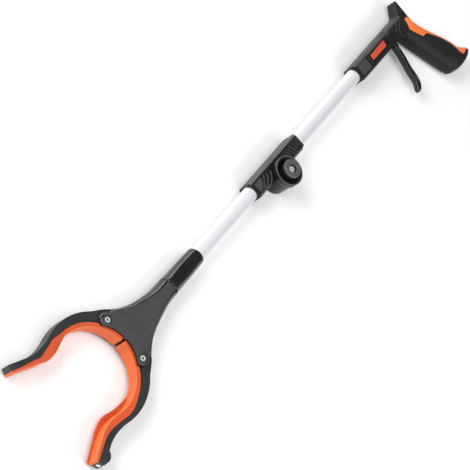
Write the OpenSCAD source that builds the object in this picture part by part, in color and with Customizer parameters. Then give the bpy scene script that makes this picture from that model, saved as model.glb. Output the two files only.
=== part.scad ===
// Folding reacher grabber: a pistol handle with a trigger, two aluminium tubes joined by a
// locking fold hinge, and a claw head that swivels a quarter turn.
// Millimetres. Origin: the fold hinge's axis where it meets the surface that the grabber lies on.
// +X runs along the tubes towards the handle, +Y away from the grip, +Z along the fold axis.

/* [Tubes] */
// Outside diameter of both tubes
tube_d = 17.5; // [17:0.1:17.6]
// Wall thickness of both tubes
tube_wall = 1.1; // [0.8:0.1:1.5]
// Where the upper tube ends inside the handle
upper_tube_end = 206; // [204:1:208]
// Where the lower tube ends inside the swivel collar
lower_tube_end = -187; // [-188:1:-186]

/* [Fold hinge] */
// Distance from the fold axis to the tubes' axis
fold_offset = 12.5; // [12.4:0.1:12.8]
// Height of the tubes' axis above the surface
tube_height = 14; // [14:0.5:15]
// Radius of the stacked knuckles
knuckle_r = 16.7; // [16:0.1:17]
// Length of each hinge housing from the fold axis
housing_len = 49; // [48:1:56]
// Half the height of the hinge housings
housing_half = 10.3; // [10.2:0.1:11]
// Radius of the ring round the lock button
ring_r = 17.6; // [17:0.1:18.5]
// Radius of the lock button's cap
cap_r = 10.1; // [9.5:0.1:10.2]
// Travel of the lock button
button_travel = 3; // [2.5:0.1:3]

/* [Claw] */
// Radius of the round mouth between the pads
mouth_r = 48.5; // [47:0.5:50]
// Thickness of the rubber pads
pad_t = 5; // [4:0.5:5]
// Width of the jaws and pads
jaw_w = 17.5; // [16:0.5:17.5]
// Half the distance between the two jaw rivets
rivet_y = 27.5; // [27:0.5:28]
// Angle that each jaw turns to close
jaw_angle = 26; // [20:1:26]
// Thickness of the closed claw head
head_t = 24; // [23.5:0.5:24]

/* [Handle] */
// Width of the handle's barrel
barrel_w = 25; // [24:0.5:26]
// Width of the grip
grip_w = 28; // [27:0.5:28]
// Width of the trigger
trigger_w = 9; // [8:0.5:9]
// Angle that the trigger turns
trigger_angle = 19; // [15:1:19]
// Pull of the cable over the trigger's whole stroke
cable_pull = 6.41; // [6.3:0.01:6.5]

/* [Hidden] */
$fn = 64;

tube_r = tube_d / 2;
fit_gap = 0.05;             // round fits, fixed or turning
run_gap = 0.3;              // between pieces that move past each other
eps = 0.1;                  // how far cutters run past a face
coil_steps = 12;            // straight pieces to a turn of a spring
upper_pin_x = 200;
lower_pin_x = -40;

// Fold hinge, heights from the tubes' axis
housing_back = -12.5;
housing_front = 11;
split_gap = 0.15;
ring_z = [11.3, 18.7];
cap_top = 26.5;
clear_r = knuckle_r + 0.5;
gear_teeth = 24;
gear_r = [10, 11.8];
gear_z = [-2.5, 2.5];
tooth_w = 1.2;
bolt_r = 2;
socket_end = 26;            // where each tube's socket stops short of the fold axis

// Cable
cable_r = 0.75;
channel_r = 1.6;
cable_x = 45;               // where the hinge stretch meets the straight stretches
cable_dip = [-15.7, -10.3]; // y and z where the cable passes beside the hinge bolt
span_route = [
    [-cable_x, 0, 0], [-cable_x + 1, 0, 0],
    [-36, -1.3, -1.2], [-27, -4.6, -4.2], [-18, -9.8, -7.6], [-10, -14, -10],
    [0, cable_dip[0], cable_dip[1]],
    [10, -14, -10], [18, -9.8, -7.6], [27, -4.6, -4.2], [36, -1.3, -1.2],
    [cable_x - 1, 0, 0], [cable_x, 0, 0]
];

// Swivel
collar_x = [-220, -163];
collar_r = [11.75, 10.5];
spigot_r = 9.15;
lip_r = 9.85;

// Claw head, from the tubes' axis
mouth_c = [-363.5, 0];      // centre of the round mouth
rivet = [-311, rivet_y];
rivet_r = 2.5;
cavity_half = 9.2;
pin_arm = [8, -14];         // from a rivet to the crosshead's pin
pin_r = 1.5;
spring_x = [-282, -247];
head_c = [-351, 0];         // centre of the head's concave front edge
head_edge_r = 41;
bend_a = 105;               // where the round of the mouth turns into the jaw's outward sweep
sweep_r = 50;
sweep_a = 37.2;
tip_run = 28.5;             // straight run of the jaw to its tip
jaw_steps = 16;

// Handle, from the tubes' axis
trigger_pivot = [312.5, 11];
nipple = [305.6, -7.5];     // the cable's end, held in the trigger
trigger_pin_r = 1.75;
trigger_pin_half = 6.8;
fork_slot = 1.7;
core_half = 10.5;
screw_r = 1.3;
handle_screw_at = [[240, 3.5], [266, 3.2], [318, -45], [333, -73]];
head_screw_at = [[-262, 11.5], [-262, -11.5]];

black = [0.09, 0.09, 0.1];
orange = [0.95, 0.4, 0.12];
steel = [0.72, 0.73, 0.75];
silver = [0.85, 0.86, 0.88];

// ---- shared helpers ----

// Places a piece that is drawn about the tubes' axis
module on_tube() translate([0, fold_offset, tube_height]) children();

// A round rod along X from x0 to x1
module rod_x(r, x0, x1, r1 = undef)
    translate([x0, 0, 0]) rotate([0, 90, 0]) cylinder(r1 = r, r2 = is_undef(r1) ? r : r1, h = x1 - x0);

// A round rod along Z about a point in the plane of the claw
module rod_z(at, r, z0, z1) translate([at[0], at[1], z0]) cylinder(r = r, h = z1 - z0);

// A flat plate with the given outline between two heights
module plate(points, z0, z1) translate([0, 0, z0]) linear_extrude(z1 - z0) polygon(points);

// The given section, drawn as [y, z], run along X
module bar_x(section, x0, x1)
    translate([x0, 0, 0]) rotate([90, 0, 90]) linear_extrude(x1 - x0) polygon(section);

// A straight round passage between two points
module passage(a, b, r) {
    d = b - a;
    translate(a)
        rotate([0, acos(d[2] / norm(d)), atan2(d[1], d[0])])
        cylinder(r = r, h = norm(d));
}

function arc(c, r, a0, a1, n = jaw_steps) =
    [for (i = [0:n]) c + r * [cos(a0 + (a1 - a0) * i / n), sin(a0 + (a1 - a0) * i / n)]];
function flip(points) = [for (p = points) [p[0], -p[1]]];
function backwards(points) = [for (i = [len(points) - 1:-1:0]) points[i]];
function chamfered(y0, y1, z0, z1, c) = [
    [y0 + c, z0], [y1 - c, z0], [y1, z0 + c], [y1, z1 - c],
    [y1 - c, z1], [y0 + c, z1], [y0, z1 - c], [y0, z0 + c]
];

// A round tube of radius r swept along a list of points, sides vertices to a ring
function sweep_dir(path, i) =
    let (d = path[min(i + 1, len(path) - 1)] - path[max(i - 1, 0)]) d / norm(d);
function sweep_ring(p, d, r, sides) =
    let (u0 = cross(d, abs(d[2]) < 0.9 ? [0, 0, 1] : [1, 0, 0]), u = u0 / norm(u0), v = cross(d, u))
    [for (k = [0:sides - 1]) p + r * (cos(360 * k / sides) * u + sin(360 * k / sides) * v)];
module sweep(path, r, sides) {
    n = len(path);
    points = [for (i = [0:n - 1]) each sweep_ring(path[i], sweep_dir(path, i), r, sides)];
    polyhedron(points, concat(
        [[for (k = [0:sides - 1]) k]],
        [for (i = [0:n - 2], k = [0:sides - 1]) let (a = i * sides, b = (k + 1) % sides)
            each [[a + k, a + sides + k, a + sides + b], [a + k, a + sides + b, a + b]]],
        [[for (k = [sides - 1:-1:0]) (n - 1) * sides + k]]));
}

// A compression spring along +Z
module coil(mean_r, wire_r, length, turns)
    sweep([for (i = [0:turns * coil_steps]) let (a = i * 360 / coil_steps) [
        mean_r * cos(a), mean_r * sin(a),
        wire_r + (length - 2 * wire_r) * i / (turns * coil_steps)
    ]], wire_r, 5);

// ---- tubes ----

module tube(x0, x1) difference() {
    rod_x(tube_r, x0, x1);
    rod_x(tube_r - tube_wall, x0 - eps, x1 + eps);
}

// The pin that holds a tube in its socket; it passes the tube to one side of the cable
module tube_pin(x, gap) rod_z([x, 5], 1.2 + gap, -7.5 - gap, 7.5 + gap);

module upper_tube() color(silver) on_tube() difference() {
    tube(socket_end + 1, upper_tube_end);
    tube_pin(upper_pin_x, fit_gap);
}
module lower_tube() color(silver) on_tube() difference() {
    tube(lower_tube_end, -socket_end - 1);
    tube_pin(lower_pin_x, fit_gap);
}
module upper_tube_pin() color(steel) on_tube() tube_pin(upper_pin_x, 0);
module lower_tube_pin() color(steel) on_tube() tube_pin(lower_pin_x, 0);

// ---- fold hinge ----

// Everything inside the hinge is placed about the fold axis
module on_fold() translate([0, 0, tube_height]) children();

// Toothed outline of the lock gear, grown by a clearance
function gear_outline(grow) = [for (i = [0:gear_teeth - 1], p = [
    [gear_r[0] + grow, -0.5], [gear_r[0] + grow, -1], [gear_r[1] + grow, -1],
    [gear_r[1] + grow, 1], [gear_r[0] + grow, 1]
]) let (half = asin((tooth_w / 2 + grow) / p[0]), step = 360 / gear_teeth,
        a = i * step + (p[1] == -0.5 ? -step / 2 : p[1] * half))
    p[0] * [cos(a), sin(a)]];
module gear_shape(grow, z0, z1) plate(gear_outline(grow), z0, z1);

// The cable's way from each tube's end down to the slot beside the bolt
module cable_channel() on_tube() {
    for (s = [-1, 1]) passage([s * 27, -4.6, -4.2], [s * 10, -14.5, -10.6], channel_r);
    translate([-11.5, cable_dip[0] - 1.7, cable_dip[1] - 1.3]) cube([23, 4.6, 2.5]);
}

// The housing of one half; side is -1 for the claw's half and 1 for the handle's
module hinge_housing(side) on_tube() difference() {
    mirror([side < 0 ? 1 : 0, 0, 0])
        bar_x(chamfered(-housing_half, housing_half, housing_back, housing_front, 3),
            0.3, housing_len);
    mirror([side < 0 ? 1 : 0, 0, 0]) rod_x(tube_r + fit_gap, socket_end, housing_len + eps);
}

module upper_hinge_half() color(black) difference() {
    union() {
        difference() {
            hinge_housing(1);
            on_fold() rod_z([0, 0], clear_r, housing_back - eps, split_gap);
        }
        on_fold() rod_z([0, 0], knuckle_r, split_gap, housing_front + split_gap);
    }
    on_fold() gear_shape(run_gap, 0, gear_z[1] + 0.4);
    on_fold() rod_z([0, 0], 6.3, 0, housing_front + 1);
    cable_channel();
}

module lower_hinge_half() color(black) difference() {
    union() {
        difference() {
            hinge_housing(-1);
            on_fold() rod_z([0, 0], clear_r, -split_gap, housing_front + eps);
        }
        on_fold() rod_z([0, 0], knuckle_r, housing_back, -split_gap);
    }
    on_fold() gear_shape(run_gap, -6, 0);
    on_fold() rod_z([0, 0], 5.6, -8.3, 0);
    on_fold() rod_z([0, 0], bolt_r + fit_gap, housing_back - eps, 0);
    cable_channel();
    on_tube() tube_pin(lower_pin_x, fit_gap);
}

module hinge_bolt() color(silver) on_fold() difference() {
    union() {
        rod_z([0, 0], bolt_r, -13.3, 21.5);
        rod_z([0, 0], 3.8, 21.5, 23.5);
    }
    translate([-0.4, -2.6, 22.6]) cube([0.8, 5.2, 1]);
    translate([-2.6, -0.4, 22.6]) cube([5.2, 0.8, 1]);
}
module hinge_washer() color(steel) on_fold() difference() {
    rod_z([0, 0], 8, -12.95, -12.6);
    rod_z([0, 0], bolt_r + fit_gap, -13, -12.5);
}
module hinge_nut() color(black) on_fold() difference() {
    rod_z([0, 0], 7.5, -14, -13);
    rod_z([0, 0], bolt_r + 0.02, -13.4, -12.9);
}
module lock_gear() color(steel) on_fold() difference() {
    gear_shape(0, gear_z[0], gear_z[1]);
    rod_z([0, 0], 5, gear_z[0] - eps, 1);
    rod_z([0, 0], bolt_r + run_gap, 0, gear_z[1] + eps);
}
module lock_spring() color(steel) on_fold() translate([0, 0, -8.2]) coil(4, 0.5, 9.1, 4);
module button_ring() color(black) on_fold() difference() {
    rod_z([0, 0], ring_r, ring_z[0], ring_z[1]);
    rod_z([0, 0], cap_r + run_gap, ring_z[0] - eps, ring_z[1] + eps);
    translate([0, 0, 16.6]) cylinder(r1 = cap_r + 2, r2 = ring_r - 1.1, h = ring_z[1] - 16.6 + 0.01);
}
module button_cap() color([0.25, 0.25, 0.26]) on_fold() difference() {
    union() {
        rod_z([0, 0], cap_r, 14.8, cap_top - 1);
        translate([0, 0, cap_top - 1]) cylinder(r1 = cap_r, r2 = cap_r - 1, h = 1);
        rod_z([0, 0], 6, gear_z[1], 14.9);
    }
    rod_z([0, 0], 4.4, 21.2, cap_top + eps);
    rod_z([0, 0], bolt_r + run_gap, 0, 22);
}

// ---- swivel ----

module swivel_collar() color(black) on_tube() difference() {
    union() {
        rod_x(collar_r[0], collar_x[0], collar_x[0] + 3);
        rod_x(collar_r[0] - 0.1, collar_x[0] + 3, collar_x[1], collar_r[1]);
    }
    rod_x(tube_r + fit_gap, lower_tube_end - 0.05, collar_x[1] + eps);
    rod_x(6, -191, -186);
    rod_x(spigot_r + 0.15, collar_x[0] - eps, -190);
    rod_x(lip_r + 0.25, -198, -195);
}
module friction_ring() color([0.2, 0.2, 0.2]) on_tube() difference() {
    rod_x(spigot_r + fit_gap, -207, -205);
    rod_x(8.1, -207.5, -204.5);
}

// ---- claw head ----

head_side = [
    [-221, 12], [-240, 12.6], [-252, 14.2], [-262, 16.5], [-272, 19.2], [-280, 22.2],
    [-288, 26.2], [-295, 31], [-300.5, 35]
];
function ear(r) = arc(rivet, r, 35, 170, 10);
function head_outline() = let (side = concat(head_side, ear(10.4)))
    concat(side, arc(head_c, head_edge_r, 42, -42), backwards(flip(side)));
cavity_side = [[-278, 8], [-281, 19.5], [-290, 24.6], [-296, 29], [-298, 31]];

// Room inside the head for the jaws, the crosshead and the spring
module head_cavity() {
    plate(concat(cavity_side, [[-299, 42], [-335, 42]], [[-335, -42], [-299, -42]],
        backwards(flip(cavity_side))), -cavity_half, cavity_half);
    rod_x(6.3, -284, spring_x[1] + 0.3);
    rod_x(1.6, spring_x[1], -190);
    for (s = [-1, 1]) rod_z([rivet[0], s * rivet[1]], rivet_r + 0.02, -head_t, head_t);
    for (s = [-1, 1], f = [-1, 1]) rod_z([rivet[0], s * rivet[1]], 6.4,
        min(f * 11, f * 13), max(f * 11, f * 13));
}
module head_body() difference() {
    union() {
        plate(head_outline(), -head_t / 2, head_t / 2);
        rod_x(spigot_r, -222, -191);
        rod_x(lip_r, -197.7, -195.3);
    }
    head_cavity();
    difference() {
        rod_x(12, -207.1, -204.9);
        rod_x(8.05, -208, -204);
    }
}
module head_shell_front() color(black) on_tube() difference() {
    intersection() {
        head_body();
        translate([-340, -50, 0.02]) cube([160, 100, 20]);
    }
    for (p = head_screw_at) rod_z(p, screw_r, -1, 7);
}
module head_shell_back() color(black) on_tube() difference() {
    intersection() {
        head_body();
        translate([-340, -50, -20.02]) cube([160, 100, 20]);
    }
    for (p = head_screw_at) {
        rod_z(p, screw_r, -13, 1);
        rod_z(p, 2.9, -13, -9.5);
    }
}
module head_screws() color(steel) on_tube() for (p = head_screw_at) {
    rod_z(p, screw_r - 0.05, -9.6, 6.5);
    rod_z(p, 2.6, -11.2, -9.55);
}
module jaw_rivets() color(silver) on_tube() for (s = [-1, 1]) difference() {
    union() {
        rod_z([rivet[0], s * rivet[1]], rivet_r, -11.5, 11.5);
        for (z = [-12.2, 11.02]) rod_z([rivet[0], s * rivet[1]], 3.7, z, z + 1.18);
    }
    rod_z([rivet[0], s * rivet[1]], 1.2, -13, 13);
}
module crosshead_plate(z0) plate([
    [-306, 16.5], [-306, 10.5], [-301.5, 9.5], [-301.5, -9.5], [-306, -10.5], [-306, -16.5],
    [-299, -16.5], [-287, -7], [-287, 7], [-299, 16.5]
], z0, z0 + 3);
module crosshead() color(steel) on_tube() difference() {
    union() {
        for (z = [3.4, -6.4]) crosshead_plate(z);
        translate([-290, -7, -6.4]) cube([5, 14, 12.8]);
        rod_x(5.3, -286, -282);
    }
    rod_x(cable_r + fit_gap, -292, -281);
    for (s = [-1, 1]) rod_z([rivet[0] + pin_arm[0], s * (rivet[1] + pin_arm[1])], pin_r + 0.02, -8, 8);
}
module crosshead_pins() color(silver) on_tube() for (s = [-1, 1])
    rod_z([rivet[0] + pin_arm[0], s * (rivet[1] + pin_arm[1])], pin_r, -6.9, 6.9);
module cable_ferrule() color(steel) on_tube() difference() {
    rod_x(1.9, -293.5, -290.02);
    rod_x(cable_r + 0.02, -294, -290);
}
module return_spring() color(steel) on_tube()
    translate([spring_x[0], 0, 0]) rotate([0, 90, 0]) coil(4.4, 0.6, spring_x[1] - spring_x[0], 8);

// Jaw outlines for the side towards +Y. t is the distance out from the pad's working face.
sweep_c = mouth_c + (mouth_r + sweep_r) * [cos(bend_a), sin(bend_a)];
tip_dir = [-cos(bend_a + 90 - sweep_a - 180), -sin(bend_a + 90 - sweep_a - 180)];
function jaw_line(t, a0) = concat(
    arc(mouth_c, mouth_r + t, a0, bend_a),
    arc(sweep_c, sweep_r - t, bend_a + 180, bend_a + 180 - sweep_a, 8),
    [sweep_c + (sweep_r - t) * [cos(bend_a + 180 - sweep_a), sin(bend_a + 180 - sweep_a)]
        + tip_run * tip_dir]);
palm_a = asin(1.5 / mouth_r);
function pad_outline() = concat(jaw_line(0, palm_a), backwards(jaw_line(pad_t, palm_a)));
back_c = [-360, -2];
back_r = 64.5;
back_sweep_r = 60;
tip_normal = [tip_dir[1], -tip_dir[0]];
bone_t = 5;                 // thickness of the black bone at the tip
bulb_at = [-423.2, 62.8];
bulb_r = 8.7;
magnet_out = 8.4;           // from the pad's working face to the magnet's middle
function last(points) = points[len(points) - 1];
function after(points, n) = [for (i = [n:len(points) - 1]) points[i]];
function tip(t) = last(jaw_line(t, bend_a - 1));
function jaw_back(end_a) = concat(
    [[-304, 31], [-301.5, 34], [-302.5, 37.5], [-305.5, 40.2], [-311, 43]],
    arc(back_c, back_r, 48, 104, 12),
    arc(back_c + (back_r + back_sweep_r) * [cos(104), sin(104)], back_sweep_r, 284, end_a, 8));
function plain_back() = concat(jaw_back(250), [tip(pad_t) + bone_t * tip_normal]);
function bulb_back() = concat(jaw_back(257), [[-407, 61.2]], arc(bulb_at, bulb_r, 12, 112, 12),
    [tip(0) + 11.5 * tip_normal]);

// Where the crosshead's pin stands in the jaw's own frame after the given share of the stroke
function pin_in_jaw(s) = let (p = pin_arm + [cable_pull * s, 0], a = jaw_angle * s)
    rivet + [p[0] * cos(a) + p[1] * sin(a), -p[0] * sin(a) + p[1] * cos(a)];

module jaw_body(back) difference() {
    union() {
        plate(concat(after(jaw_line(pad_t, palm_a), 6), backwards(back)), -jaw_w / 2, jaw_w / 2);
        plate(concat(jaw_line(pad_t, palm_a), backwards(jaw_line(pad_t + 1.7, palm_a))),
            -jaw_w / 2, jaw_w / 2);
        difference() {
            rod_z(rivet, 8.6, -jaw_w / 2, jaw_w / 2);
            plate(pad_outline(), -jaw_w, jaw_w);
        }
        plate([[-309.5, 4.5], [-298.8, 4.5], [-298.8, 15], [-303, 24], [-312, 22]], -3, 3);
    }
    rod_z(rivet, rivet_r + fit_gap, -10, 10);
    for (i = [0:8]) rod_z(pin_in_jaw(i / 8), pin_r + 0.3, -4, 4);
}
// A disc set into the end face of the lower jaw's tip, drawn before that jaw is mirrored
module magnet_shape(r, depth, proud) translate(concat(tip(0) + magnet_out * tip_normal, 0))
    rotate([0, 0, atan2(tip_dir[1], tip_dir[0])]) rod_x(r, -depth, proud);
module jaw_upper() color(black) on_tube() jaw_body(plain_back());
module jaw_lower() color(black) on_tube() mirror([0, 1, 0]) difference() {
    jaw_body(bulb_back());
    magnet_shape(2.7 + fit_gap, 6, eps);
}
module magnet() color(silver) on_tube() mirror([0, 1, 0]) magnet_shape(2.7, 5.95, 0);
module jaw_pad() plate(pad_outline(), -jaw_w / 2, jaw_w / 2);
module jaw_pad_upper() color(orange) on_tube() jaw_pad();
module jaw_pad_lower() color(orange) on_tube() mirror([0, 1, 0]) jaw_pad();

// ---- cable ----

module pull_cable_front() color(steel) on_tube() rod_x(cable_r, -293.5, -cable_x);
module pull_cable_span() color(steel) on_tube() sweep(span_route, cable_r, 8);
module pull_cable_rear() color(steel) on_tube()
    passage([cable_x + 0.03, 0, 0], concat(nipple, 0), cable_r);
module cable_nipple() color(steel) on_tube() difference() {
    rod_z(nipple, 2, -4.2, 4.2);
    passage([cable_x, 0, 0], concat(nipple, 0) + [0.01, 0, 0], cable_r + 0.01);
}

// ---- handle ----

barrel_section = chamfered(-10.9, 9.5, -barrel_w / 2, barrel_w / 2, 3.5);
barrel_x = [190, 299];
horn = [
    [290, 9], [300, 9.5], [305.7, 11.5], [314.2, 22.2], [315.6, 23.7], [317, 24], [318.2, 23.2],
    [318.6, 21.6], [318.6, 3.5], [296, 3.5]
];
horn_plan = [[285, -8.8], [308, -8.8], [319, -7], [319, 7], [308, 8.8], [285, 8.8]];
grip_outline = [
    [286.5, -10.9], [312, -86], [320, -90], [336, -92], [349, -90.5], [359, -88], [364.5, -85],
    [364.5, -81.5], [357, -77.5], [350, -74], [347.5, -66], [341.5, -51], [334.5, -36],
    [327, -22], [321.5, -9], [322.5, 3.5], [296, 3.5], [296, -10.9]
];
grip_core = [
    [290.2, -10.9], [315, -83.5], [344, -83.5], [346, -76], [344, -66], [338, -51.5], [331, -37],
    [323.5, -22.5], [318, -9], [318.8, 6], [290.2, 6]
];
strap_outline = [
    [300, 3.5], [299, -10], [302, -18], [308, -30], [314, -31], [321.5, -40], [328, -52],
    [333, -64], [336, -74], [341, -80], [350, -84], [358, -85.5], [364.5, -85], [364.5, -81.5],
    [357, -77.5], [350, -74], [347.5, -66], [341.5, -51], [334.5, -36], [327, -22],
    [321.5, -9], [322.5, 3.5]
];
trigger_room = [
    [257.5, -14], [257.5, 6.5], [303, 6.5], [309.75, 13.6], [312, 14.9], [314.5, 14.4],
    [316.3, 12], [316.2, -12], [296, -33], [284, -33], [284, -14]
];
grip_room = [[301, -32], [320, -80], [328, -80], [340, -66], [326, -38], [318, -32]];
trigger_slot_w = trigger_w + 1.6;

module handle_body() {
    bar_x(barrel_section, barrel_x[0], barrel_x[1]);
    intersection() {
        plate(horn, -10, 10);
        translate([0, 30, 0]) rotate([90, 0, 0]) linear_extrude(60) polygon(horn_plan);
    }
    plate(grip_core, -core_half, core_half);
}
module handle_room() {
    rod_x(tube_r + fit_gap, barrel_x[0] - eps, upper_tube_end + fit_gap);
    translate([205, -7.5, -9]) cube([55, 14, 18]);
    plate(trigger_room, -trigger_slot_w / 2, trigger_slot_w / 2);
    plate(grip_room, -8, 8);
    rod_z(trigger_pivot, trigger_pin_r + 0.02, -trigger_pin_half - 0.1, trigger_pin_half + 0.1);
    tube_pin(upper_pin_x, fit_gap);
}
module boss(at) rod_z(at, 3.1, -11, 11);
module handle_half() {
    difference() {
        handle_body();
        difference() {
            handle_room();
            for (p = handle_screw_at) boss(p);
        }
    }
}
badge_box = [220, 255, -3, 5.2];   // x0, x1, y0, y1
badge_depth = 0.8;
module handle_shell_front() color(black) on_tube() difference() {
    intersection() {
        handle_half();
        translate([180, -100, 0.02]) cube([200, 140, 20]);
    }
    translate([badge_box[0], badge_box[2], barrel_w / 2 - badge_depth])
        cube([badge_box[1] - badge_box[0], badge_box[3] - badge_box[2], 2]);
    for (p = handle_screw_at) rod_z(p, screw_r, -1, 7);
}
module handle_shell_back() color(black) on_tube() difference() {
    intersection() {
        handle_half();
        translate([180, -100, -20.02]) cube([200, 140, 20]);
    }
    for (p = handle_screw_at) {
        rod_z(p, screw_r, -14, 1);
        rod_z(p, 2.9, -14, -8.5);
    }
}
module handle_screws() color(steel) on_tube() for (p = handle_screw_at) {
    rod_z(p, screw_r - 0.05, -8.6, 6.5);
    rod_z(p, 2.6, -10.3, -8.55);
}
module badge_inlay() color([0.8, 0.25, 0.1]) on_tube()
    translate([badge_box[0] + 0.1, badge_box[2] + 0.1, barrel_w / 2 - badge_depth])
    cube([badge_box[1] - badge_box[0] - 0.2, badge_box[3] - badge_box[2] - 0.2, badge_depth - 0.1]);
module grip_sleeve() color([0.12, 0.12, 0.12]) on_tube() difference() {
    plate(grip_outline, -grip_w / 2, grip_w / 2);
    plate(grip_core, -core_half, core_half);
    plate(strap_outline, -20, 20);
    bar_x(barrel_section, barrel_x[0], barrel_x[1]);
    plate(trigger_room, -trigger_slot_w / 2, trigger_slot_w / 2);
}
module grip_backstrap() color(orange) on_tube() difference() {
    plate(strap_outline, -grip_w / 2, grip_w / 2);
    plate(grip_core, -core_half, core_half);
}

// Finger lever, from its root inside the handle to its tip; each entry is [x, y, radius]
finger = [
    [273.5, -11, 4.6], [272, -23, 3.3], [268.3, -38, 2.8], [265, -50, 3.2], [262, -62, 3.6],
    [255, -70, 3.3]
];
// Where the cable's nipple stands in the lever's own frame after the given share of the stroke
function nipple_in_lever(s) =
    let (p = nipple - trigger_pivot + [cable_pull * s, 0], a = trigger_angle * s)
    trigger_pivot + [p[0] * cos(a) + p[1] * sin(a), -p[0] * sin(a) + p[1] * cos(a)];
module disc(e) rod_z([e[0], e[1]], e[2], -trigger_w / 2, trigger_w / 2, $fn = 32);
module trigger_lever() color(black) on_tube() difference() {
    union() {
        hull() {
            disc(concat(trigger_pivot, 3.4));
            disc(concat(nipple, 3.9));
        }
        hull() {
            disc(concat(nipple, 3.9));
            disc(finger[0]);
        }
        for (i = [0:len(finger) - 2]) hull() {
            disc(finger[i]);
            disc(finger[i + 1]);
        }
    }
    rod_z(trigger_pivot, trigger_pin_r + fit_gap, -10, 10);
    rod_z(trigger_pivot, 3.2, -1.6, 1.6);
    for (i = [0:4]) rod_z(nipple_in_lever(i / 4), 2.25, -10, 10);
    translate([255, -10, -fork_slot]) cube([nipple[0] - 255, 40, 2 * fork_slot]);
}
module trigger_pin() color(steel) on_tube()
    rod_z(trigger_pivot, trigger_pin_r, -trigger_pin_half, trigger_pin_half);
module trigger_spring() color(steel) on_tube() difference() {
    rod_z(trigger_pivot, 2.9, -1.3, 1.3);
    rod_z(trigger_pivot, 2, -2, 2);
}

// ---- build ----

handle_shell_front();
handle_shell_back();
handle_screws();
badge_inlay();
grip_sleeve();
grip_backstrap();
trigger_lever();
trigger_pin();
trigger_spring();
upper_tube();
upper_tube_pin();
cable_nipple();
pull_cable_rear();
pull_cable_span();
pull_cable_front();
upper_hinge_half();
lower_hinge_half();
hinge_bolt();
hinge_washer();
hinge_nut();
lock_gear();
lock_spring();
button_ring();
button_cap();
lower_tube();
lower_tube_pin();
swivel_collar();
friction_ring();
head_shell_front();
head_shell_back();
head_screws();
jaw_rivets();
crosshead();
crosshead_pins();
cable_ferrule();
return_spring();
jaw_upper();
jaw_lower();
jaw_pad_upper();
jaw_pad_lower();
magnet();
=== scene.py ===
"""Looks of the folding reacher grabber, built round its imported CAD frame.

Shapes are drawn in millimetres in the tubes' own frame: x along the tubes, y across them and z up,
with the tubes' axis at y = 0, z = 0 and the fold axis at x = 0, y = -12.5.
"""
import math

import bmesh
import bpy
from mathutils import Matrix, Vector


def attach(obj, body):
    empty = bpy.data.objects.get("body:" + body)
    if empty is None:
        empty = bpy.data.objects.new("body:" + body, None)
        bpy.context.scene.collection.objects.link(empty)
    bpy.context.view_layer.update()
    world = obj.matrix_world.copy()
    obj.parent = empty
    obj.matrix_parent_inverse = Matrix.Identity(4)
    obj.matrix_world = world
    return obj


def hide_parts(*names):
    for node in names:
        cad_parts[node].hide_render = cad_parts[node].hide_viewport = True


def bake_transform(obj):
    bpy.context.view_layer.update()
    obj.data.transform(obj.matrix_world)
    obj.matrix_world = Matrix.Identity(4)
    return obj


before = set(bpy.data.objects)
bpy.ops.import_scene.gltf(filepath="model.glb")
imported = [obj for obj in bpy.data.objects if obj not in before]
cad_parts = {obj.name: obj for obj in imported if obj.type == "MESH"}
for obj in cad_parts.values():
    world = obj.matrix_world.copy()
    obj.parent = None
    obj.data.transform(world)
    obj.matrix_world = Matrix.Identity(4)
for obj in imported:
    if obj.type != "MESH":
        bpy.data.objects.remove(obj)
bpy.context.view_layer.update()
FOLD_Y = -12.5
TUBE_Z = 14


def placed(point):
    x, y, z = point
    return Vector((x, y - FOLD_Y, z + TUBE_Z)) / 1000


# ---- camera, light and world ----

CAMERA_AT = (-1.4389, 0.3470, 1.7401)
CAMERA_RIGHT = Vector((0.5224, -0.6609, 0.5388))
CAMERA_AHEAD = Vector((0.6039, -0.1594, -0.7809))


def add_camera():
    right, ahead = CAMERA_RIGHT.normalized(), CAMERA_AHEAD.normalized()
    data = bpy.data.cameras.new("camera")
    data.lens = 153.2
    data.sensor_width = 36
    data.clip_end = 20
    camera = bpy.data.objects.new("camera", data)
    bpy.context.scene.collection.objects.link(camera)
    turn = Matrix((right, right.cross(ahead), -ahead)).transposed().to_4x4()
    camera.matrix_world = Matrix.Translation(CAMERA_AT) @ turn
    bpy.context.scene.camera = camera


def add_light(name, at, aim, size, power):
    data = bpy.data.lights.new(name, "AREA")
    data.shape = "RECTANGLE"
    data.size, data.size_y = size
    data.energy = power
    light = bpy.data.objects.new(name, data)
    light.location = at
    light.rotation_euler = (Vector(aim) - Vector(at)).to_track_quat("-Z", "Y").to_euler()
    bpy.context.scene.collection.objects.link(light)


add_camera()
add_light("side key", (-0.7, 1.4, 1.2), (0, 0, 0), (1.5, 1.0), 27)
add_light("top", (-0.5, -0.1, 1.9), (0, 0, 0), (1.3, 1.3), 16)
add_light("rim strip", (0.45, 1.15, 0.2), (0, 0, 0.01), (1.6, 0.25), 7)
add_light("fill", (-0.2, -1.6, 1.5), (0, 0, 0), (1.4, 1.0), 22)

world = bpy.data.worlds.new("studio")
world.use_nodes = True
world.node_tree.nodes["Background"].inputs["Color"].default_value = (1, 1, 1, 1)
world.node_tree.nodes["Background"].inputs["Strength"].default_value = 0.2
bpy.context.scene.world = world
bpy.context.scene.view_settings.view_transform = "Standard"

# ---- finishes ----


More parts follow.
